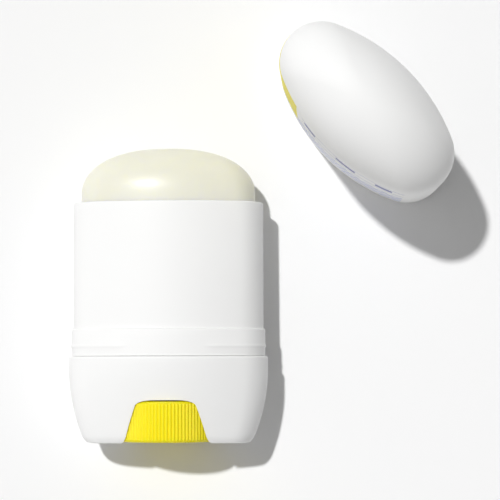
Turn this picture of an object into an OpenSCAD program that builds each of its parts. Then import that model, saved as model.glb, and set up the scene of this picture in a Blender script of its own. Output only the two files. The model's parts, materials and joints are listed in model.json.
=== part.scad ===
// Oval twist-up sunscreen stick, lying on its back, with its cap standing beside it.
// The stick's pieces are drawn upright, foot at z = 0 and front towards -Y, and laid down together.

/* [Base] */
// Width of the base at its belt
base_w = 46; // [38:0.5:56]
// Thickness of the base at its belt
base_t = 23.6; // [21:0.2:30]
// Height of the base, foot to ledge
base_h = 19.9; // [18:0.1:26]
// Height of the belt below the ledge, where the base is at its full width
belt_h = 2.9; // [1:0.1:6]
// Width of the foot
foot_w = 38.6; // [32:0.2:44]
// Thickness of the foot
foot_t = 16.3; // [13:0.1:19]
// Wall of the base shell
base_wall = 1.5; // [1.2:0.1:2]
// Rounding of the foot's outer edge
foot_round = 1.2; // [0.6:0.1:1.4]

/* [Barrel] */
// Width of the collar that the cap grips
collar_w = 44.8; // [37:0.1:54.5]
// Thickness of the collar that the cap grips
collar_t = 22.5; // [20:0.1:28.5]
// Height of the collar
collar_h = 6.3; // [5:0.1:10]
// Step from the collar in to the barrel, all round
collar_step = 0.4; // [0.3:0.1:1]
// Height of the barrel above the collar
barrel_h = 29.1; // [26:0.1:40]
// Wall of the barrel
barrel_wall = 1.5; // [1.2:0.1:2]
// Height that the snap beads stand off the collar
bead_out = 0.15; // [0.1:0.05:0.2]
// Width of a snap bead
bead_h = 0.8; // [0.6:0.1:1.2]
// Middle of the beads above the ledge
bead_z = 2.3; // [2:0.1:3.5]
// Plain stretch of the collar between the beads, front and back
bead_gap = 18; // [12:1:24]
// Depth of the neck that is pressed into the base
neck_h = 5.5; // [4:0.1:7]
// Thickness of the deck that carries the screw
deck_h = 1.5; // [1.2:0.1:2.5]

/* [Twist mechanism] */
// Diameter of the dial over its ribs
dial_d = 23.4; // [20:0.2:23.4]
// Height of the dial
dial_h = 9.3; // [7:0.1:9.6]
// Wall and floor of the dial
dial_wall = 1.6; // [1.2:0.1:2]
// Number of ribs round the dial
rib_count = 90; // [60:6:120]
// Depth of the ribs
rib_deep = 0.3; // [0.2:0.05:0.4]
// Height of the dial's floor above the foot
dial_lift = 0.3; // [0.2:0.1:0.6]
// Outer diameter of the screw's thread
thread_d = 5.8; // [5:0.1:7]
// Core diameter of the screw
core_d = 4.2; // [3.4:0.1:4.4]
// Rise of the carrier for one turn of the dial
thread_lead = 4; // [3:0.5:6]
// Length of thread above the screw's flange
thread_h = 34; // [31:0.5:38]
// Diameter of the screw's flange
flange_d = 11; // [10:0.5:13]
// Thickness of the screw's flange
flange_h = 1.2; // [1:0.1:1.6]
// Diameter of the journal that turns in the deck
journal_d = 5; // [4.4:0.1:6]
// Width across the corners of the six-sided end that drives the dial
drive_d = 4.6; // [3.8:0.1:5]
// Wall round a bore in the mechanism
boss_wall = 1.5; // [1.2:0.1:2]

/* [Carrier and balm] */
// Height of the carrier's cup over all
cup_h = 6.5; // [5:0.1:9]
// Floor of the cup
cup_floor = 1.5; // [1.2:0.1:2]
// Wall of the cup
cup_wall = 0.9; // [0.7:0.1:1.2]
// Length of the nut below the cup's floor
nut_below = 3.8; // [3:0.1:4.5]
// Length of the nut above the cup's floor
nut_above = 3.5; // [2:0.1:5]
// Height of the dome on top of the balm
dome_h = 10.9; // [7:0.1:13]
// Fullness of the dome's outline, 2 for an ellipse
dome_full = 2.25; // [2:0.05:3]
// Straight side of the balm that stands out of the barrel
balm_out = 1.8; // [0.5:0.1:6]
// Way down from the pose in the photograph
lift_down = 2.5; // [1:0.1:3]
// Way up from the pose in the photograph
lift_up = 24; // [16:0.5:25]

/* [Cap] */
// Height of the cap
cap_h = 50.5; // [48:0.5:62]
// Wall of the cap
cap_wall = 1; // [0.8:0.1:1.6]
// Height of the cap's dome
cap_dome = 18; // [10:0.5:20]
// Turn of the cap on the table, in degrees
cap_turn = -45; // [-90:1:0]
// Cap's middle to the right of the stick's axis
cap_right = 45.6; // [44:0.1:80]
// Cap's middle above the stick's foot, along the stick
cap_along = 74.9; // [50:0.1:90]

/* [Fits] */
// Clearance of a running fit, on the radius
run_fit = 0.06; // [0.04:0.01:0.1]
// Clearance of a push fit, on the radius
push_fit = 0.03; // [0.02:0.01:0.05]
// Gap round the carrier and round the dial
slide_gap = 0.3; // [0.2:0.05:0.4]
// Gap between thread and nut
thread_gap = 0.2; // [0.15:0.05:0.25]

/* [Hidden] */
eps = 0.01;
edge_r = 0.4;
end_steps = 9;
side_steps = 7;
end_share = 0.75;
white = [0.95, 0.95, 0.94];
off_white = [0.9, 0.9, 0.88];
cream = [0.93, 0.92, 0.83];
yellow = [0.95, 0.84, 0.12];

ledge_z = base_h;
belt_z = base_h - belt_h;
widest_z = ledge_z - edge_r;
inner_low = 1.5*base_wall;
collar_top = ledge_z + collar_h;
barrel_w = collar_w - 2*collar_step;
barrel_t = collar_t - 2*collar_step;
rim_z = collar_top + barrel_h;
bore_w = barrel_w - 2*barrel_wall;
bore_t = barrel_t - 2*barrel_wall;
deck_z = ledge_z - neck_h;
deck_top = deck_z + deck_h;

dial_top = dial_lift + dial_h;
well_r = dial_d/2 + slide_gap;
well_top = dial_top + slide_gap;
well_round = 1.3;
bushing_d = journal_d + 2*run_fit + 2*boss_wall;
bushing_z = well_top + 0.4;
hub_d = drive_d + 2*push_fit + 2*boss_wall;
hub_top = bushing_z - slide_gap/2;
drive_low = dial_lift + dial_wall + 0.5;
flange_z = deck_top + run_fit;
flange_top = flange_z + flange_h;
screw_top = flange_top + thread_h;

cup_w = bore_w - 2*slide_gap;
cup_t = bore_t - 2*slide_gap;
nut_d = thread_d + 2*thread_gap + 2*boss_wall;
cup_z = flange_top + slide_gap + lift_down + nut_below;
cup_rim = cup_z + cup_h;
nut_low = cup_z - nut_below;
nut_top = cup_z + cup_floor + nut_above;
balm_w = cup_w - 0.1;
balm_t = cup_t - 0.1;
balm_low = cup_z + cup_floor;
balm_shoulder = rim_z + balm_out;
screw_clear = 0.5;
screw_room_top = screw_top + lift_down + screw_clear;

mouth_w = collar_w + 2*run_fit;
mouth_t = collar_t + 2*run_fit;
cap_w = mouth_w + 2*cap_wall;
cap_t = mouth_t + 2*cap_wall;

// The stick rests on the belt's top edge and on the barrel's rim
rest_a = [base_t/2, widest_z];
rest_b = [barrel_t/2, rim_z - edge_r];
lean = atan((rest_a[0] - rest_b[0]) / (rest_b[1] - rest_a[1]));
rest_up = rest_a[0]*cos(lean) + rest_a[1]*sin(lean);

// Middle of the whole set, so that the frame's origin lies under it
cap_outline = [for (p = oval(cap_w, cap_t))
    [cap_right + p[0]*cos(cap_turn) - p[1]*sin(cap_turn),
     cap_along + p[0]*sin(cap_turn) + p[1]*cos(cap_turn)]];
set_right = max([for (p = cap_outline) p[0]]);
set_far = max([for (p = cap_outline) p[1]]);
set_near = foot_low_y();
mid_x = (set_right - base_w/2) / 2;
mid_y = (set_far + set_near) / 2;

// Points of a four-arc oval of width w and thickness t, counter-clockwise from +X
function oval(w, t) =
    let (a = w/2, b = t/2, r = end_share*b,
         big = (pow(a - r, 2) + b*b - r*r) / (2*(b - r)),
         turn = atan2(big - b, a - r),
         quarter = [
             for (k = [0 : end_steps - 1])
                 let (f = turn*k/end_steps) [a - r + r*cos(f), r*sin(f)],
             for (k = [0 : side_steps])
                 let (f = turn + (90 - turn)*k/side_steps) [big*cos(f), big*sin(f) - (big - b)]],
         n = len(quarter))
    concat(quarter,
        [for (k = [n - 2 : -1 : 0]) [-quarter[k][0], quarter[k][1]]],
        [for (k = [1 : n - 1]) [-quarter[k][0], -quarter[k][1]]],
        [for (k = [n - 2 : -1 : 1]) [quarter[k][0], -quarter[k][1]]]);

// Section of the base at height z: [width, thickness, height]
function side_at(z) =
    [base_w - (base_w - foot_w)*pow(1 - min(z/belt_z, 1), 2),
     base_t - (base_t - foot_t)*pow(1 - min(z/widest_z, 1), 1.5), z];

// Section of the room in the base, less a gap all round
function room_at(z, gap) = side_at(z) - [2*base_wall + 2*gap, 2*base_wall + 2*gap, 0];

// Heights of the neck's sections, which the room in the base shares
neck_steps = [for (k = [0 : 4]) deck_z + neck_h*k/4];

// Height of the lowest point of the laid-down stick along its axis, at the foot's back edge
function foot_low_y() = -(foot_t/2 - foot_round)*sin(lean);

// Sections of a dome from its shoulder at z up to its flat top, scaled from w by t
function dome(w, t, z, h, full, steps) = [
    for (k = [0 : steps])
        let (f = 90*k/(steps + 0.35), s = pow(cos(f), 2/full), up = pow(sin(f), 2/full))
        [w*s, t*s, z + h*(k == steps ? 1 : up)]];

// Solid skinned over a stack of oval sections
module loft(sections) {
    rings = [for (s = sections) [for (p = oval(s[0], s[1])) [p[0], p[1], s[2]]]];
    n = len(rings[0]);
    m = len(rings);
    points = [for (ring = rings) for (p = ring) p];
    sides = [for (j = [0 : m - 2]) for (k = [0 : n - 1])
        let (a = j*n + k, b = j*n + (k + 1)%n) each [[a, a + n, b], [b, a + n, b + n]]];
    ends = [[for (k = [0 : n - 1]) k], [for (k = [n - 1 : -1 : 0]) (m - 1)*n + k]];
    polyhedron(points, concat(sides, ends), convexity = 4);
}

module oval_prism(w, t, z0, z1) {
    translate([0, 0, z0]) linear_extrude(z1 - z0) polygon(oval(w, t));
}

// Screw section: a round core with two lobes, wider all round by a gap for the nut
module thread_section(gap) {
    circle(d = core_d + 2*gap, $fn = 24);
    intersection() {
        circle(d = thread_d + 2*gap, $fn = 24);
        square([thread_d*2, core_d*0.55 + 2*gap], center = true);
    }
}

// Left-hand double thread, in step with one at the flange's top at any height
module thread(z0, z1, gap) {
    turns = (z1 - z0)/thread_lead;
    translate([0, 0, z0]) rotate([0, 0, -360*(z0 - flange_top)/thread_lead])
        linear_extrude(z1 - z0, twist = 360*turns, slices = ceil(14*turns))
            thread_section(gap);
}

// Lays the upright stick on its back and moves it to its place in the set
module laid_down() {
    translate([-mid_x, -mid_y, rest_up]) rotate([-90 - lean, 0, 0]) children();
}

module dial_well() {
    r = well_r;
    c = well_round;
    rotate_extrude($fn = 120) polygon(concat([[0, -1], [r, -1]],
        [for (f = [0 : 15 : 90]) [r - c + c*cos(f), well_top - c + c*sin(f)]], [[0, well_top]]));
}

module base_shell() color(white) laid_down() {
    difference() {
        loft(concat(
            [[foot_w - 2*foot_round, foot_t - 2*foot_round, 0]],
            [for (f = [0.3, 0.8, 1.5]) let (in = foot_round*pow(1 - f/1.5, 2))
                side_at(f*foot_round) - [in, in, 0]],
            [for (k = [2 : 10]) side_at(belt_z*k/10)],
            [side_at((belt_z + widest_z)/2), side_at(widest_z),
             [base_w - 0.6*edge_r, base_t - 0.6*edge_r, ledge_z - 0.3*edge_r],
             [base_w - 2*edge_r, base_t - 2*edge_r, ledge_z]]));
        difference() {
            loft([for (z = concat(inner_low, deck_z*[0.4, 0.6, 0.8], neck_steps, ledge_z + 1))
                room_at(z, 0)]);
            cylinder(r = well_r + base_wall, h = well_top + base_wall - 0.5, $fn = 120);
        }
        dial_well();
        cylinder(d = bushing_d + 2*slide_gap, h = deck_z, $fn = 48);
    }
}

module barrel() color(white) laid_down() {
    difference() {
        union() {
            loft([for (z = concat(neck_steps, [ledge_z + run_fit + eps])) room_at(z, push_fit)]);
            loft([[collar_w - 0.6, collar_t - 0.6, ledge_z + run_fit],
                [collar_w, collar_t, ledge_z + run_fit + 0.3],
                [collar_w, collar_t, collar_top - edge_r],
                [collar_w - 0.3*edge_r, collar_t - 0.3*edge_r, collar_top - 0.3*edge_r],
                [barrel_w, barrel_t, collar_top + 0.1],
                [barrel_w, barrel_t, rim_z - edge_r],
                [barrel_w - 0.3*edge_r, barrel_t - 0.3*edge_r, rim_z - 0.5*edge_r],
                [barrel_w - 1.2*edge_r, barrel_t - 1.2*edge_r, rim_z]]);
            snap_beads();
            translate([0, 0, bushing_z]) cylinder(d = bushing_d, h = deck_z - bushing_z + eps, $fn = 48);
        }
        oval_prism(bore_w, bore_t, deck_top, rim_z + 1);
        translate([0, 0, bushing_z - 1]) cylinder(d = journal_d + 2*run_fit, h = deck_top, $fn = 48);
    }
}

module snap_beads() {
    z = ledge_z + bead_z;
    difference() {
        loft([[collar_w - 0.2, collar_t - 0.2, z - bead_h/2 - 0.1],
            [collar_w + 2*bead_out, collar_t + 2*bead_out, z - 0.15],
            [collar_w + 2*bead_out, collar_t + 2*bead_out, z + 0.15],
            [collar_w - 0.2, collar_t - 0.2, z + bead_h/2 + 0.1]]);
        translate([-bead_gap/2, -collar_t, z - bead_h]) cube([bead_gap, 2*collar_t, 2*bead_h]);
    }
}

module dial() color(yellow) laid_down() {
    r = dial_d/2;
    chamfer = 0.5;
    translate([0, 0, dial_lift]) difference() {
        union() {
            difference() {
                ribbed_wheel(r, chamfer);
                translate([0, 0, dial_wall]) cylinder(r = r - rib_deep - dial_wall, h = dial_h, $fn = 96);
            }
            cylinder(d = hub_d, h = hub_top - dial_lift, $fn = 48);
            for (a = [45 : 90 : 315]) rotate([0, 0, a])
                translate([hub_d/2 - 0.3, -0.5, 1]) cube([r - hub_d/2 - dial_wall, 1, dial_h - 2.5]);
        }
        translate([0, 0, drive_low - dial_lift]) cylinder(d = drive_d + 2*push_fit, h = dial_h*2, $fn = 6);
    }
}

// Ribs as a fluted outline between two plain rims with chamfered edges
module ribbed_wheel(r, chamfer) {
    root = r - rib_deep;
    cylinder(r1 = root - chamfer, r2 = root, h = chamfer, $fn = 180);
    translate([0, 0, chamfer]) linear_extrude(dial_h - 2*chamfer) polygon([
        for (k = [0 : rib_count - 1]) for (c = [[-0.32, root], [-0.14, r], [0.14, r], [0.32, root]])
            let (f = 360*(k + c[0])/rib_count) [c[1]*cos(f), c[1]*sin(f)]]);
    translate([0, 0, dial_h - chamfer]) cylinder(r1 = root, r2 = root - chamfer, h = chamfer, $fn = 180);
}

module screw() color(off_white) laid_down() {
    translate([0, 0, drive_low]) cylinder(d = drive_d, h = bushing_z - drive_low + eps, $fn = 6);
    translate([0, 0, bushing_z]) cylinder(d = journal_d, h = flange_z - bushing_z + eps, $fn = 48);
    translate([0, 0, flange_z]) cylinder(d = flange_d, h = flange_h, $fn = 64);
    thread(flange_top - eps, screw_top - core_d/4, 0);
    translate([0, 0, screw_top - core_d/4 - eps])
        cylinder(d1 = core_d, d2 = core_d/2, h = core_d/4, $fn = 24);
}

module carrier() color(off_white) laid_down() {
    difference() {
        union() {
            difference() {
                oval_prism(cup_w, cup_t, cup_z, cup_rim);
                oval_prism(cup_w - 2*cup_wall, cup_t - 2*cup_wall, cup_z + cup_floor, cup_rim + 1);
            }
            translate([0, 0, nut_low]) cylinder(d = nut_d, h = nut_top - nut_low, $fn = 64);
        }
        thread(nut_low - 1, nut_top + 1, thread_gap);
    }
}

module balm() color(cream) laid_down() {
    difference() {
        loft(concat(
            [[cup_w - 2*cup_wall, cup_t - 2*cup_wall, balm_low],
             [cup_w - 2*cup_wall, cup_t - 2*cup_wall, cup_rim],
             [balm_w, balm_t, cup_rim + eps]],
            dome(balm_w, balm_t, balm_shoulder, dome_h, dome_full, 12)));
        translate([0, 0, balm_low - 1]) cylinder(d = nut_d, h = nut_top - balm_low + 1, $fn = 64);
        cylinder(d = thread_d + 2*screw_clear, h = screw_room_top, $fn = 48);
    }
}

module cap() color(white) {
    translate([cap_right - mid_x, cap_along - mid_y, 0]) rotate([0, 0, cap_turn]) difference() {
        loft(concat([[cap_w - 0.5, cap_t - 0.5, 0], [cap_w, cap_t, 0.25]],
            dome(cap_w, cap_t, cap_h - cap_dome, cap_dome, dome_full, 14)));
        loft(concat([[mouth_w + 0.3, mouth_t + 0.3, -0.3], [mouth_w, mouth_t, 0.3],
                [mouth_w, mouth_t, collar_h + 0.3], [mouth_w - 0.4, mouth_t - 0.4, collar_h + 0.6]],
            dome(mouth_w - 0.4, mouth_t - 0.4, cap_h - cap_dome, cap_dome - cap_wall, dome_full, 12)));
    }
}

base_shell();
barrel();
dial();
screw();
carrier();
balm();
cap();
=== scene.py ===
import bpy
import bmesh
import json
from math import atan2, cos, pi, radians, sin, sqrt
from mathutils import Matrix, Vector


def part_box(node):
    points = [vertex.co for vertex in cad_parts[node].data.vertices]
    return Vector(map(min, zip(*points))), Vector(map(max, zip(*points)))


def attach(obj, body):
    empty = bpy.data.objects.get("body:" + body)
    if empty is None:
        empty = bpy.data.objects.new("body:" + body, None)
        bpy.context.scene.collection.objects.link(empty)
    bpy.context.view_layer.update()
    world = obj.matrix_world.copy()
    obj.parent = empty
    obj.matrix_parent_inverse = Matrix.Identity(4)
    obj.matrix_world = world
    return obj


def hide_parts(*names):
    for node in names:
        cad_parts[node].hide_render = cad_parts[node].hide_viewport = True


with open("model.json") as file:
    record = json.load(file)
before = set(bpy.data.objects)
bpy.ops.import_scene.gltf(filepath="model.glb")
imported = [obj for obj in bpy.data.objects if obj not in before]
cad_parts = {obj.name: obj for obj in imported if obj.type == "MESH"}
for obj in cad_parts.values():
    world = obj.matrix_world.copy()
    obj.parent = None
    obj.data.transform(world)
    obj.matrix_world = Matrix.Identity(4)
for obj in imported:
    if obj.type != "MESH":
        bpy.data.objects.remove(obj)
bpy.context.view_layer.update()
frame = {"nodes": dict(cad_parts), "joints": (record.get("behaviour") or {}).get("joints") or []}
mm = 0.001

# The stick is modelled upright in millimetres, foot at zero and front towards -Y,
# and is then laid along the line that its dial turns on.
stick = {
    "axisHeight": 10.3, "ledge": 19.9, "belt": 17.0, "widest": 19.5, "deck": 14.4,
    "runFit": 0.06, "pushFit": 0.03,
}


def stickPlace():
    # upright millimetres to the lying stick in metres, from the dial's joint
    joint = next(j for j in frame["joints"] if j["name"] == "dial_turn")
    up = Vector(joint["axis"]).normalized()
    across = Vector((1, 0, 0))
    back = up.cross(across)
    foot = Vector(joint["pos_m"]) - up * stick["axisHeight"] * mm
    turn = Matrix((across, back, up)).transposed().to_4x4()
    return Matrix.Translation(foot) @ turn @ Matrix.Scale(mm, 4)


# Camera and light

camera = {"over": (0.015, -0.0167, 0.5), "lookAt": (-0.0024, -0.0023, 0.0), "seen": 0.1184, "roll": -0.2736}
light = {
    "key": {"travel": (0.28, -0.38, -1.0), "strength": 2.34, "soft": 2.5},
    "fill": {"travel": (0.7, 0.4, -1.0), "strength": 0.6, "soft": 90.0},
    "sky": 0.135, "paper": 0.955,
}


def setCamera():
    data = bpy.data.cameras.new("camera")
    cam = bpy.data.objects.new("camera", data)
    bpy.context.collection.objects.link(cam)
    place = Vector(camera["over"])
    look = Vector(camera["lookAt"]) - place
    right = Vector((1, 0, 0))
    right = (right - look * right.dot(look) / look.length_squared).normalized()
    upward = right.cross(look.normalized())
    c, s = cos(radians(camera["roll"])), sin(radians(camera["roll"]))
    right, upward = right * c + upward * s, upward * c - right * s
    turn = Matrix((right, upward, -look.normalized())).transposed().to_4x4()
    cam.matrix_world = Matrix.Translation(place) @ turn
    data.sensor_width = 36
    data.lens = data.sensor_width * look.length / camera["seen"]
    data.clip_start = 0.01
    data.clip_end = 20
    bpy.context.scene.camera = cam
    bpy.context.scene.view_settings.view_transform = "Standard"


def setLights():
    for name in ("key", "fill"):
        lamp = bpy.data.lights.new("studio_" + name, "SUN")
        lamp.energy = light[name]["strength"]
        lamp.angle = radians(light[name]["soft"])
        lampObject = bpy.data.objects.new("studio_" + name, lamp)
        bpy.context.collection.objects.link(lampObject)
        travel = Vector(light[name]["travel"])
        lampObject.rotation_euler = travel.to_track_quat("-Z", "Y").to_euler()
        lampObject.location = -0.8 * travel
    world = bpy.data.worlds.new("studioSky")
    bpy.context.scene.world = world
    world.use_nodes = True
    world.node_tree.nodes.clear()
    out = addNode(world.node_tree, "ShaderNodeOutputWorld")
    sky = addNode(world.node_tree, "ShaderNodeBackground", Color=(1, 1, 1, 1), Strength=light["sky"])
    paper = addNode(world.node_tree, "ShaderNodeBackground", Color=(1, 1, 1, 1), Strength=light["paper"])
    ray = addNode(world.node_tree, "ShaderNodeLightPath")
    seen = ray.outputs["Is Camera Ray"]
    for kind in ("Is Glossy Ray", "Is Transmission Ray"):
        seen = addNode(world.node_tree, "ShaderNodeMath", {"operation": "MAXIMUM"}, _0=seen,
                       _1=ray.outputs[kind]).outputs[0]
    pick = addNode(world.node_tree, "ShaderNodeMixShader", Fac=seen)
    world.node_tree.links.new(sky.outputs[0], pick.inputs[1])
    world.node_tree.links.new(paper.outputs[0], pick.inputs[2])
    world.node_tree.links.new(pick.outputs[0], out.inputs[0])


# Materials

def linear(hexColour):
    # sRGB hex to the linear values that the shader takes
    parts = [int(hexColour[k:k + 2], 16) / 255 for k in (1, 3, 5)]
    return [p / 12.92 if p <= 0.04045 else ((p + 0.055) / 1.055) ** 2.4 for p in parts] + [1.0]


def addNode(tree, kind, settings=None, **inputs):
    # an input is given by its name, or by its place in the list, as _0 or _6
    node = tree.nodes.new(kind)
    for name, value in (settings or {}).items():
        setattr(node, name, value)
    for name, value in inputs.items():
        socket = node.inputs[int(name[1:])] if name[0] == "_" else node.inputs[name.replace("_", " ")]
        if isinstance(value, bpy.types.NodeSocket):
            tree.links.new(value, socket)
        else:
            socket.default_value = value
    return node


def newMaterial(name):
    material = bpy.data.materials.new(name)
    material.use_nodes = True
    tree = material.node_tree
    tree.nodes.clear()
    shader = addNode(tree, "ShaderNodeBsdfPrincipled")
    out = addNode(tree, "ShaderNodeOutputMaterial")
    tree.links.new(shader.outputs[0], out.inputs[0])
    spots = addNode(tree, "ShaderNodeTexCoord").outputs["Object"]
    return material, tree, shader, spots


def clouded(tree, shader, spots, size, detail, first, second):
    # faint clouds of one colour in another very near it, about as wide as the size in millimetres
    cloud = addNode(tree, "ShaderNodeTexNoise", Vector=spots, Scale=1 / (size * mm), Detail=detail)
    colour = addNode(tree, "ShaderNodeMix", {"data_type": "RGBA"}, Factor=cloud.outputs["Fac"],
                     _6=linear(first), _7=linear(second)).outputs[2]
    tree.links.new(colour, shader.inputs["Base Color"])
    return colour


def moulded(tree, shader, spots, grain, depth, rough):
    # spark-eroded tool face: a fine even grain, and broad faint unevenness in the gloss
    fine = addNode(tree, "ShaderNodeTexNoise", Vector=spots, Scale=1 / (grain * mm), Detail=2.0)
    bump = addNode(tree, "ShaderNodeBump", Height=fine.outputs["Fac"], Distance=depth * mm, Strength=0.35)
    broad = addNode(tree, "ShaderNodeTexNoise", Vector=spots, Scale=1 / (9 * mm), Detail=3.0)
    span = addNode(tree, "ShaderNodeMapRange", Value=broad.outputs["Fac"])
    span.inputs["To Min"].default_value = rough - 0.04
    span.inputs["To Max"].default_value = rough + 0.05
    tree.links.new(span.outputs[0], shader.inputs["Roughness"])
    tree.links.new(bump.outputs[0], shader.inputs["Normal"])


def whitePolypropylene(name="mouldedWhitePolypropylene"):
    # dense white pigment: soft satin, a little light under the skin at thin edges
    material, tree, shader, spots = newMaterial(name)
    colour = clouded(tree, shader, spots, 14, 2.0, "#f5f5f4", "#f7f7f6")
    shader.inputs["IOR"].default_value = 1.49
    shader.inputs["Subsurface Weight"].default_value = 0.15
    shader.inputs["Subsurface Radius"].default_value = (1.0, 1.0, 1.0)
    shader.inputs["Subsurface Scale"].default_value = 0.0006
    shader.inputs["Specular IOR Level"].default_value = 0.4
    moulded(tree, shader, spots, 0.25, 0.004, 0.55)
    return material, tree, shader, spots, colour


# The print on the cap's front wall: plain fields and dashes, (left, right, low, high) in millimetres
capPrint = {
    "line": {"fields": [(-9.0, 19.5, 31.0, 31.7), (-9.0, 19.5, 22.3, 23.0)], "colour": "#747cb4"},
    "block": {"fields": [(-8.0, -4.0, 25.0, 29.0), (2.5, 8.0, 25.0, 29.0), (13.0, 17.0, 25.0, 29.0)],
              "colour": "#565ea4"},
    "sun": {"fields": [(-24.0, -11.0, 8.0, 36.0)], "colour": "#f0e235"},
    "dash": {
        "rows": (3.0, 17.0), "pitch": 2.0, "thick": 0.45, "step": 3.4, "long": 0.7, "shift": 0.37,
        "reach": (-20.0, 19.5), "colour": "#8f9bd4",
    },
    "soft": 0.12, "frontEdge": -0.5,
}


def within(tree, value, low, high):
    # 1 between the two limits, with a slightly soft edge
    off = addNode(tree, "ShaderNodeMath", {"operation": "SUBTRACT"}, _0=value, _1=(low + high) / 2)
    off = addNode(tree, "ShaderNodeMath", {"operation": "ABSOLUTE"}, _0=off.outputs[0])
    edge = addNode(tree, "ShaderNodeMapRange", Value=off.outputs[0])
    edge.inputs["From Min"].default_value = (high - low) / 2 - capPrint["soft"]
    edge.inputs["From Max"].default_value = (high - low) / 2
    edge.inputs["To Min"].default_value = 1.0
    edge.inputs["To Max"].default_value = 0.0
    return edge.outputs[0]


def overlap(tree, *masks):
    whole = masks[0]
    for mask in masks[1:]:
        whole = addNode(tree, "ShaderNodeMath", {"operation": "MULTIPLY"}, _0=whole, _1=mask).outputs[0]
    return whole


def printedPolypropylene():
    # screen-printed ink on the cap's moulded front: thin and even, so it colours the plastic
    # and keeps its sheen
    material, tree, shader, spots, colour = whitePolypropylene("screenPrintedWhitePolypropylene")
    low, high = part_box("cap")
    local = addNode(tree, "ShaderNodeMapping", {"vector_type": "TEXTURE"}, Vector=spots)
    local.inputs["Location"].default_value = ((low.x + high.x) / 2, (low.y + high.y) / 2, 0)
    local.inputs["Rotation"].default_value = (0, 0, radians(capSizes["turn"]))
    local.inputs["Scale"].default_value = (mm, mm, mm)
    side = addNode(tree, "ShaderNodeSeparateXYZ", Vector=local.outputs[0])
    across, through, up = side.outputs
    front = addNode(tree, "ShaderNodeMath", {"operation": "LESS_THAN"}, _0=through,
                    _1=capPrint["frontEdge"]).outputs[0]
    # rows of dashes, each row a little further along than the last
    dash = capPrint["dash"]
    row = addNode(tree, "ShaderNodeMath", {"operation": "DIVIDE"}, _0=up, _1=dash["pitch"]).outputs[0]
    part = addNode(tree, "ShaderNodeMath", {"operation": "FRACT"}, _0=row).outputs[0]
    line = addNode(tree, "ShaderNodeMath", {"operation": "FLOOR"}, _0=row).outputs[0]
    thin = addNode(tree, "ShaderNodeMath", {"operation": "LESS_THAN"}, _0=part, _1=dash["thick"]).outputs[0]
    along = addNode(tree, "ShaderNodeMath", {"operation": "DIVIDE"}, _0=across, _1=dash["step"]).outputs[0]
    along = addNode(tree, "ShaderNodeMath", {"operation": "MULTIPLY_ADD"}, _0=line, _1=dash["shift"],
                    _2=along).outputs[0]
    along = addNode(tree, "ShaderNodeMath", {"operation": "FRACT"}, _0=along).outputs[0]
    long = addNode(tree, "ShaderNodeMath", {"operation": "LESS_THAN"}, _0=along, _1=dash["long"]).outputs[0]
    mask = overlap(tree, front, thin, long, within(tree, across, *dash["reach"]),
                   within(tree, up, *dash["rows"]))
    colour = addNode(tree, "ShaderNodeMix", {"data_type": "RGBA"}, Factor=mask, _6=colour,
                     _7=linear(dash["colour"])).outputs[2]
    for name in ("line", "block", "sun"):
        for left, right, foot, top in capPrint[name]["fields"]:
            mask = overlap(tree, front, within(tree, across, left, right), within(tree, up, foot, top))
            colour = addNode(tree, "ShaderNodeMix", {"data_type": "RGBA"}, Factor=mask, _6=colour,
                             _7=linear(capPrint[name]["colour"])).outputs[2]
    tree.links.new(colour, shader.inputs["Base Color"])
    return material


def yellowPolypropylene():
    # tinted, slightly see-through plastic: it glows a little where light enters it
    material, tree, shader, spots = newMaterial("mouldedYellowPolypropylene")
    clouded(tree, shader, spots, 6, 2.0, "#f7e40e", "#fbea16")
    shader.inputs["IOR"].default_value = 1.49
    shader.inputs["Subsurface Weight"].default_value = 0.5
    shader.inputs["Subsurface Radius"].default_value = (1.0, 0.8, 0.1)
    shader.inputs["Subsurface Scale"].default_value = 0.0016
    shader.inputs["Specular IOR Level"].default_value = 0.35
    moulded(tree, shader, spots, 0.2, 0.003, 0.5)
    return material


def naturalPolypropylene():
    # no pigment: milky, waxy and a little translucent
    material, tree, shader, spots = newMaterial("mouldedNaturalPolypropylene")
    clouded(tree, shader, spots, 5, 2.0, "#e6e6df", "#eeeee8")
    shader.inputs["IOR"].default_value = 1.49
    shader.inputs["Subsurface Weight"].default_value = 0.5
    shader.inputs["Subsurface Radius"].default_value = (1.0, 1.0, 0.9)
    shader.inputs["Subsurface Scale"].default_value = 0.0015
    moulded(tree, shader, spots, 0.3, 0.004, 0.42)
    return material


def pouredWax():
    # poured clear-cream wax: light goes deep into it, and its skin is smooth with faint flow marks
    material, tree, shader, spots = newMaterial("pouredWaxBalm")
    clouded(tree, shader, spots, 7, 3.0, "#e9e8d9", "#edecdf")
    shader.inputs["IOR"].default_value = 1.44
    shader.inputs["Specular IOR Level"].default_value = 0.35
    shader.inputs["Subsurface Weight"].default_value = 1.0
    shader.inputs["Subsurface Radius"].default_value = (1.0, 0.97, 0.6)
    shader.inputs["Subsurface Scale"].default_value = 0.004
    flow = addNode(tree, "ShaderNodeTexNoise", Vector=spots, Scale=1 / (3.5 * mm), Detail=2.0)
    bump = addNode(tree, "ShaderNodeBump", Height=flow.outputs["Fac"], Distance=0.03 * mm, Strength=0.5)
    tree.links.new(bump.outputs[0], shader.inputs["Normal"])
    pores = addNode(tree, "ShaderNodeTexNoise", Vector=spots, Scale=1 / (0.8 * mm), Detail=2.0)
    span = addNode(tree, "ShaderNodeMapRange", Value=pores.outputs["Fac"])
    span.inputs["To Min"].default_value = 0.26
    span.inputs["To Max"].default_value = 0.36
    tree.links.new(span.outputs[0], shader.inputs["Roughness"])
    return material


def studioPaper():
    # uncoated paper sweep: matte, with hardly any clouding
    material, tree, shader, spots = newMaterial("matteStudioPaper")
    clouded(tree, shader, spots, 60, 1.0, "#fafafa", "#fbfbfb")
    shader.inputs["Roughness"].default_value = 0.9
    shader.inputs["Specular IOR Level"].default_value = 0.1
    return material


# Mesh helpers: every shell grows ring by ring from one circle

ovalSteps = {"end": 26, "side": 22, "endShare": 0.75}


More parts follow.
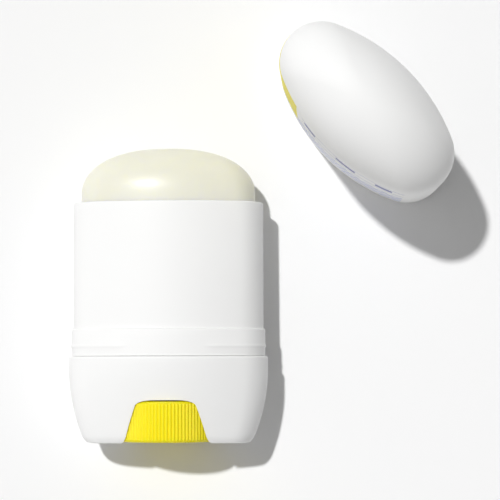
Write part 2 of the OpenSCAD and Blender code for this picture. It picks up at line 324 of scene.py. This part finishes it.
def ovalPoints(width, thick):
    # four-arc oval, counter-clockwise from +X
    a, b = width / 2, thick / 2
    r = ovalSteps["endShare"] * b
    big = ((a - r) ** 2 + b * b - r * r) / (2 * (b - r))
    turn = atan2(big - b, a - r)
    end, side = ovalSteps["end"], ovalSteps["side"]
    quarter = [(a - r + r * cos(turn * k / end), r * sin(turn * k / end)) for k in range(end)]
    for k in range(side + 1):
        f = turn + (pi / 2 - turn) * k / side
        quarter.append((big * cos(f), big * sin(f) - (big - b)))
    left = [(-x, y) for x, y in reversed(quarter[:-1])]
    under = [(-x, -y) for x, y in quarter[1:]]
    return quarter + left + under + [(x, -y) for x, y in reversed(quarter[1:-1])]


def placeRing(ring, section, spot, outline):
    points = outline(section)
    for vert in ring:
        x, y = points[vert[spot]]
        vert.co = (x, y, section[2])


def plainOval(section):
    return ovalPoints(section[0], section[1])


def growSkin(bm, sections, outline=plainOval, closed=False):
    # one circle, extruded from section to section: (width, thickness, height) each
    spot = bm.verts.layers.int.get("spot") or bm.verts.layers.int.new("spot")
    count = len(outline(sections[0]))
    ring = bmesh.ops.create_circle(bm, segments=count, radius=1.0)["verts"]
    for k, vert in enumerate(ring):
        vert[spot] = k
    placeRing(ring, sections[0], spot, outline)
    first = list({edge for vert in ring for edge in vert.link_edges})
    edges = first
    for section in sections[1:]:
        grown = bmesh.ops.extrude_edge_only(bm, edges=edges)["geom"]
        ring = [part for part in grown if isinstance(part, bmesh.types.BMVert)]
        inRing = set(ring)
        edges = [part for part in grown if isinstance(part, bmesh.types.BMEdge)
                 and part.verts[0] in inRing and part.verts[1] in inRing]
        placeRing(ring, section, spot, outline)
    if closed:
        bmesh.ops.bridge_loops(bm, edges=first + edges)
    else:
        for loop in (first, edges):
            bmesh.ops.edgeloop_fill(bm, edges=loop)
    return bm


def closePoles(bm, heights):
    # the small end rings draw together to points
    for height in heights:
        ring = [v for v in bm.verts if abs(v.co.z - height) < 1e-4 and abs(v.co.x) < 2 and abs(v.co.y) < 2]
        bmesh.ops.pointmerge(bm, verts=ring, merge_co=(0, 0, height))


def arc(centre, radius, first, last, steps=5):
    # rounding of a section: angles from 0, outward, to 90, up
    turns = [radians(first + (last - first) * k / steps) for k in range(steps + 1)]
    return [(centre[0] + 2 * radius * cos(t), centre[1] + 2 * radius * cos(t), centre[2] + radius * sin(t))
            for t in turns]


def dome(width, thick, z, height, full, steps):
    turns = [pi / 2 * k / steps for k in range(steps)] + [radians(89.2)]
    return [(width * cos(t) ** (2 / full), thick * cos(t) ** (2 / full), z + height * sin(t) ** (2 / full))
            for t in turns]


def solid(name, bm, place, material, sharp=38):
    bmesh.ops.recalc_face_normals(bm, faces=bm.faces)
    bmesh.ops.transform(bm, matrix=place, verts=bm.verts)
    mesh = bpy.data.meshes.new(name)
    bm.to_mesh(mesh)
    bm.free()
    mesh.polygons.foreach_set("use_smooth", [True] * len(mesh.polygons))
    mesh.set_sharp_from_angle(angle=radians(sharp))
    piece = bpy.data.objects.new(name, mesh)
    bpy.context.collection.objects.link(piece)
    mesh.materials.append(material)
    return piece


def cut(target, tool, operation):
    # one boolean on two meshes, applied at once; the tool is used up
    change = target.modifiers.new("cut", "BOOLEAN")
    change.operation = operation
    change.solver = "EXACT"
    change.object = tool
    made = target.evaluated_get(bpy.context.evaluated_depsgraph_get())
    mesh = bpy.data.meshes.new_from_object(made)
    target.modifiers.clear()
    old = target.data
    target.data = mesh
    bpy.data.meshes.remove(old)
    bpy.data.objects.remove(tool)


# The base shell

baseSizes = {
    "width": 46.0, "thick": 23.6, "footWidth": 38.6, "footThick": 16.3, "wall": 1.5, "footRound": 1.2,
    "edge": 0.4, "wellRadius": 12.0, "wellTop": 9.9, "wellRound": 1.3, "roof": 1.0, "bushingHole": 8.72,
    "lip": 0.22, "lipAngle": 32, "merge": 0.06,
}


def sideAt(z, inward=0.0):
    # the base's outside at height z, drawn in by so much all round
    base = baseSizes
    slope = 1 - min(z / stick["belt"], 1)
    curve = 1 - min(z / stick["widest"], 1)
    return (base["width"] - (base["width"] - base["footWidth"]) * slope ** 2 - 2 * inward,
            base["thick"] - (base["thick"] - base["footThick"]) * curve ** 1.5 - 2 * inward, z)


def makeBaseShell(place, material):
    base = baseSizes
    edge = base["edge"]
    rounding = base["footRound"]
    steps = 40
    low = 1.5 * rounding
    outside = [sideAt(0, rounding)]
    for k in range(1, 10):
        outside.append(sideAt(low * k / 10, rounding * (1 - k / 10) ** 2 / 2))
    outside += [sideAt(low + (stick["widest"] - low) * k / steps) for k in range(steps)]
    outside += arc((base["width"] - 2 * edge, base["thick"] - 2 * edge, stick["widest"]), edge, 0, 90)
    shell = solid("base_shell_piece", growSkin(bmesh.new(), outside), Matrix(), material)
    floor = 1.5 * base["wall"]
    inside = [sideAt(floor + (stick["ledge"] - floor) * k / 20, base["wall"]) for k in range(21)]
    inside.append(sideAt(stick["ledge"] + 1, base["wall"]))
    hollow = solid("hollow", growSkin(bmesh.new(), inside), Matrix(), material)
    tube = bmesh.new()
    tubeTop = base["wellTop"] + base["roof"]
    bmesh.ops.create_cone(tube, cap_ends=True, segments=240, radius1=base["wellRadius"] + base["wall"],
                          radius2=base["wellRadius"] + base["wall"], depth=tubeTop + 4,
                          matrix=Matrix.Translation((0, 0, tubeTop / 2 - 2)))
    cut(hollow, solid("tube", tube, Matrix(), material), "DIFFERENCE")
    cut(shell, hollow, "DIFFERENCE")
    well = bmesh.new()
    r, c = base["wellRadius"], base["wellRound"]
    profile = [(0, 0, -1), (r, 0, -1)]
    profile += [(r - c + c * cos(radians(f)), 0, base["wellTop"] - c + c * sin(radians(f)))
                for f in range(0, 91, 10)]
    verts = [well.verts.new(p) for p in profile + [(0, 0, base["wellTop"])]]
    edges = [well.edges.new(pair) for pair in zip(verts, verts[1:])]
    bmesh.ops.spin(well, geom=verts + edges, cent=(0, 0, 0), axis=(0, 0, 1), dvec=(0, 0, 0), angle=2 * pi,
                   steps=360, use_merge=True)
    bmesh.ops.remove_doubles(well, verts=well.verts, dist=1e-4)
    cut(shell, solid("well", well, Matrix(), material), "DIFFERENCE")
    hole = bmesh.new()
    bmesh.ops.create_cone(hole, cap_ends=True, segments=96, radius1=base["bushingHole"] / 2,
                          radius2=base["bushingHole"] / 2, depth=10, matrix=Matrix.Translation((0, 0, 9)))
    cut(shell, solid("hole", hole, Matrix(), material), "DIFFERENCE")
    softenLip(shell)
    bm = bmesh.new()
    bm.from_mesh(shell.data)
    bpy.data.objects.remove(shell)
    return solid("base_shell_piece", bm, place, material, 32)


def softenLip(shell):
    # the moulded edge round the dial windows is slightly rounded
    base = baseSizes
    bm = bmesh.new()
    bm.from_mesh(shell.data)
    bmesh.ops.remove_doubles(bm, verts=bm.verts, dist=base["merge"])
    lip = []
    for edge in bm.edges:
        if len(edge.link_faces) != 2 or edge.calc_face_angle(0) < radians(base["lipAngle"]):
            continue
        spots = [v.co for v in edge.verts]
        onWell = all(abs(s.xy.length - base["wellRadius"]) < base["merge"]
                     or s.z > base["wellTop"] - base["wellRound"] for s in spots)
        inWindow = all(-0.05 < s.z < base["wellTop"] + 0.05 and abs(s.y) > 6 for s in spots)
        if onWell and inWindow:
            lip.append(edge)
    bmesh.ops.bevel(bm, geom=lip, offset=base["lip"], offset_type="OFFSET", affect="EDGES", segments=3,
                    profile=0.5, material=-1, clamp_overlap=True)
    bm.to_mesh(shell.data)
    bm.free()
    print("lip edges", len(lip))


# The barrel with its collar, snap beads, deck and bushing

barrelSizes = {
    "collarWidth": 44.8, "collarThick": 22.5, "collarHeight": 6.3, "step": 0.4, "height": 29.1,
    "wall": 1.5, "deck": 1.5, "bushing": 8.12, "bushingFoot": 10.3, "bore": 5.12,
    "beadOut": 0.15, "beadHeight": 0.8, "beadUp": 2.3, "beadGap": 18.0, "beadFade": 1.2, "edge": 0.4,
}


def beadedOval(section):
    # a fourth value is how far the snap bead stands out, faded towards the front and back middle
    points = ovalPoints(section[0], section[1])
    if len(section) < 4:
        return points
    plain = barrelSizes["beadGap"] / 2
    out = []
    for x, y in points:
        fade = min(max((abs(x) - plain) / barrelSizes["beadFade"], 0), 1)
        rise = section[3] * fade * fade * (3 - 2 * fade)
        reach = sqrt(x * x + y * y)
        out.append((x + rise * x / reach, y + rise * y / reach))
    return out


def makeBarrel(place, material):
    part = barrelSizes
    low = stick["ledge"] + stick["runFit"]
    top = low - stick["runFit"] + part["collarHeight"]
    rim = top + part["height"]
    cw, ct = part["collarWidth"], part["collarThick"]
    bw, bt = cw - 2 * part["step"], ct - 2 * part["step"]
    iw, it = bw - 2 * part["wall"], bt - 2 * part["wall"]
    deck = stick["deck"]
    inward = baseSizes["wall"] + stick["pushFit"]
    neck = [sideAt(deck + 0.3 + (low - deck - 0.3) * k / 6, inward) for k in range(7)]
    nw, nt, _ = sideAt(deck, inward)
    edge = part["edge"]
    bead = stick["ledge"] + part["beadUp"]
    half = part["beadHeight"] / 2
    path = [(part["bore"], part["bore"], part["bushingFoot"])]
    path += arc((part["bushing"] - 0.6, part["bushing"] - 0.6, part["bushingFoot"] + 0.3), 0.3, -90, 0, 3)
    path += [(part["bushing"], part["bushing"], deck)]
    path += arc((nw - 0.6, nt - 0.6, deck + 0.3), 0.3, -90, -30, 2)
    path += neck
    path += arc((cw - 0.24, ct - 0.24, low + 0.12), 0.12, -90, 0, 4)
    for k in range(-6, 7):
        height = bead + half * 1.25 * k / 6
        out = part["beadOut"] * max(0, cos(radians(90 * k / 6))) ** 1.2
        path.append((cw, ct, height, out))
    path += arc((cw - 2 * edge, ct - 2 * edge, top - edge), edge, 0, 70, 4)
    path += arc((bw + 0.24, bt + 0.24, top + 0.12), 0.12, 250, 180, 3)
    path += [(bw, bt, top + 1)]
    path += arc((bw - 2 * edge, bt - 2 * edge, rim - edge), edge, 0, 90, 5)
    path += arc((iw + 0.4, it + 0.4, rim - 0.2), 0.2, 90, 180, 3)
    path += [(iw, it, deck + part["deck"] + 0.3)]
    path += arc((iw - 0.6, it - 0.6, deck + part["deck"] + 0.3), 0.3, 0, -90, 3)
    path += [(part["bore"], part["bore"], deck + part["deck"])]
    bm = growSkin(bmesh.new(), path, beadedOval, closed=True)
    return solid("barrel_piece", bm, place, material)


# The dial

dialSizes = {
    "diameter": 23.4, "height": 9.3, "lift": 0.3, "wall": 1.6, "ribs": 90, "ribDeep": 0.25, "chamfer": 0.5,
    "hub": 7.66, "hubTop": 10.15, "drive": 4.66, "driveFoot": 2.4, "web": 1.0, "webs": 4, "pointsPerRib": 8,
}


def makeDial(place, material):
    part = dialSizes
    r = part["diameter"] / 2
    root = r - part["ribDeep"]
    perRib = part["pointsPerRib"]
    count = part["ribs"] * perRib

    def ribbed(section):
        # radius, how far the ribs stand out of it, and height; a fourth value makes the ring six-sided
        points = []
        for k in range(count):
            f = 2 * pi * k / count
            wave = 0.5 + 0.5 * cos(2 * pi * (k % perRib) / perRib)
            reach = section[0] + section[1] * min(1, wave ** 0.8 * 1.1)
            if len(section) > 3:
                reach = section[0] * cos(pi / 6) / cos((f % (pi / 3)) - pi / 6)
            points.append((reach * cos(f), reach * sin(f)))
        return points

    z = part["lift"]
    top = z + part["height"]
    c = part["chamfer"]
    deep = part["ribDeep"]
    path = [(0.8, 0, z), (root - c - 1.2, 0, z), (root - c, 0, z)]
    path += [(root - 0.5 * c, 0, z + 0.25 * c), (root - 0.1, 0, z + 0.7 * c)]
    path += [(root, 0.55 * deep, z + c), (root, 0.9 * deep, z + c + 0.12), (root, deep, z + c + 0.35)]
    path += [(root, deep, top - c - 0.35), (root, 0.9 * deep, top - c - 0.12), (root, 0.55 * deep, top - c)]
    path += [(root - 0.1, 0, top - 0.7 * c), (root - c, 0, top), (root - part["wall"] + 0.2, 0, top)]
    path += [(root - part["wall"], 0, top - 0.2), (root - part["wall"], 0, z + part["wall"])]
    path += [(part["hub"] / 2, 0, z + part["wall"]), (part["hub"] / 2, 0, part["hubTop"] - 0.2)]
    path += [(part["hub"] / 2 - 0.2, 0, part["hubTop"])]
    path += [(part["drive"] / 2, 0, part["hubTop"], 6), (part["drive"] / 2, 0, part["driveFoot"], 6)]
    path += [(0.8, 0, part["driveFoot"])]
    bm = growSkin(bmesh.new(), path, ribbed)
    inner = part["hub"] / 2 - 0.3
    outer = r - part["wall"] - 0.3
    for k in range(part["webs"]):
        web = Matrix.Rotation(2 * pi * (k + 0.5) / part["webs"], 4, "Z")
        web = web @ Matrix.Translation(((inner + outer) / 2, 0, z + 1 + (part["height"] - 2.5) / 2))
        web = web @ Matrix.Diagonal((outer - inner, part["web"], part["height"] - 2.5, 1))
        bmesh.ops.create_cube(bm, size=1, matrix=web)
    return solid("dial_piece", bm, place, material, 42)


# The balm

balmSizes = {
    "width": 40.3, "thick": 18.0, "cupWidth": 38.6, "cupThick": 16.3, "foot": 25.26, "cupRim": 30.26,
    "nut": 9.2, "nutTop": 28.76, "screwRoom": 6.8, "roomTop": 54.16, "shoulder": 57.1, "dome": 10.9,
    "full": 2.25,
}


def makeBalm(place, material):
    part = balmSizes
    path = [(0.8, 0.8, part["roomTop"]), (part["screwRoom"], part["screwRoom"], part["roomTop"])]
    path += [(part["screwRoom"], part["screwRoom"], part["nutTop"])]
    path += [(part["nut"], part["nut"], part["nutTop"]), (part["nut"], part["nut"], part["foot"])]
    path += [(part["cupWidth"], part["cupThick"], part["foot"])]
    path += [(part["cupWidth"], part["cupThick"], part["cupRim"])]
    path += [(part["width"], part["thick"], part["cupRim"])]
    path += [(part["width"], part["thick"], part["shoulder"] - 4)]
    path += dome(part["width"], part["thick"], part["shoulder"], part["dome"], part["full"], 40)
    bm = growSkin(bmesh.new(), path)
    closePoles(bm, [part["roomTop"]])
    top = max(v.co.z for v in bm.verts)
    closePoles(bm, [top])
    return solid("balm_piece", bm, place, material)


# The cap

capSizes = {
    "width": 46.92, "thick": 24.62, "height": 50.5, "wall": 1.0, "dome": 18.0, "full": 2.25,
    "mouthWidth": 44.92, "mouthThick": 22.62, "seat": 6.6, "turn": -45.0,
}


def capPlace():
    low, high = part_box("cap")
    middle = Matrix.Translation(((low.x + high.x) / 2, (low.y + high.y) / 2, 0))
    return middle @ Matrix.Rotation(radians(capSizes["turn"]), 4, "Z") @ Matrix.Scale(mm, 4)


def makeCap(place, material):
    part = capSizes
    shoulder = part["height"] - part["dome"]
    mw, mt = part["mouthWidth"], part["mouthThick"]
    path = list(reversed(dome(part["width"], part["thick"], shoulder, part["dome"], part["full"], 44)))
    path += [(part["width"], part["thick"], shoulder - 6), (part["width"], part["thick"], 0.25)]
    path += [(part["width"] - 0.15, part["thick"] - 0.15, 0.07)]
    path += [(part["width"] - 0.5, part["thick"] - 0.5, 0.0)]
    path += [(mw + 0.5, mt + 0.5, 0.0), (mw + 0.15, mt + 0.15, 0.1), (mw, mt, 0.35), (mw, mt, part["seat"])]
    path += [(mw - 0.4, mt - 0.4, part["seat"] + 0.3)]
    path += dome(mw - 0.4, mt - 0.4, shoulder, part["dome"] - part["wall"], part["full"], 36)
    bm = growSkin(bmesh.new(), path)
    heights = sorted({round(v.co.z, 5) for v in bm.verts if abs(v.co.x) < 1.2 and abs(v.co.y) < 1.2})
    closePoles(bm, [heights[-1], path[-1][2]])
    return solid("cap_piece", bm, place, material)


# Build

setCamera()
setLights()
print("camera and light set")

white = whitePolypropylene()[0]
printed = printedPolypropylene()
yellow = yellowPolypropylene()
natural = naturalPolypropylene()
wax = pouredWax()
print("materials made")

upright = stickPlace()
pieces = {
    "base_shell": (makeBaseShell(upright, white), "stick", "white_shell"),
    "barrel": (makeBarrel(upright, white), "stick", "white_shell"),
    "dial": (makeDial(upright, yellow), "twist", "yellow_dial"),
    "balm": (makeBalm(upright, wax), "lift", "balm"),
    "cap": (makeCap(capPlace(), printed), "cap", "white_shell"),
}
for node, (piece, body, slot) in pieces.items():
    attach(piece, body)
    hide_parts(node)
for node in ("screw", "carrier"):
    mesh = frame["nodes"][node].data
    mesh.materials.clear()
    mesh.materials.append(natural)
print("pieces made", {name: len(made[0].data.polygons) for name, made in pieces.items()})

floorMesh = bmesh.new()
bmesh.ops.create_grid(floorMesh, x_segments=1, y_segments=1, size=3.0)
floor = solid("studio_floor", floorMesh, Matrix(), studioPaper())
